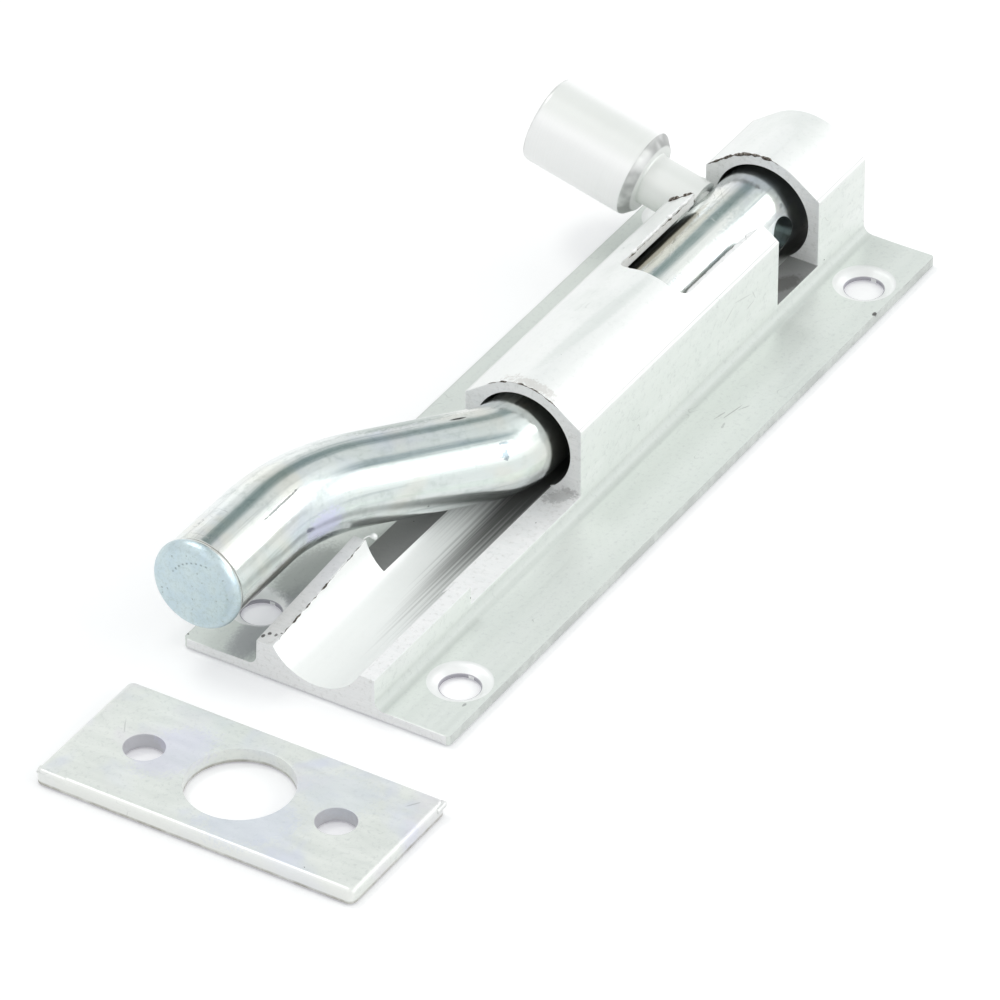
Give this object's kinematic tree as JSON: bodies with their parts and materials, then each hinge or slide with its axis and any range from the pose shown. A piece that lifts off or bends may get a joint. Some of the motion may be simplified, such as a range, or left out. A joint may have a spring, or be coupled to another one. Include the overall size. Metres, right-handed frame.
{
  "type": "necked door bolt",
  "caption": "Surface door bolt with a cranked round rod in an extruded aluminium housing, a side knob and a flat keep plate.",
  "frame": {"origin": "centre of the housing's underside, the face that lies on the door", "axes": "+X the way the bolt is thrown, +Z away from the door, -Y the side that the knob and neck are dropped to"},
  "size_m": [0.1266, 0.047, 0.0179],
  "materials": {
    "extruded_aluminium": "mill finish, satin, sawn ends",
    "bright_zinc": "bright zinc plated",
    "turned_aluminium": "turned, satin",
    "plate_zinc": "zinc plated, faintly iridescent"
  },
  "bodies": {
    "frame": {"housing": "extruded_aluminium", "keep_plate": "plate_zinc"},
    "bolt": {"bolt_rod": "bright_zinc", "knob": "turned_aluminium"}
  },
  "joints": [
    {"name": "bolt_turn", "type": "hinge", "parent": "frame", "child": "bolt", "pos_m": [0, -0.00055, 0.00715], "axis": [-1, 0, 0], "range_deg": [0, 152]}
  ]
}
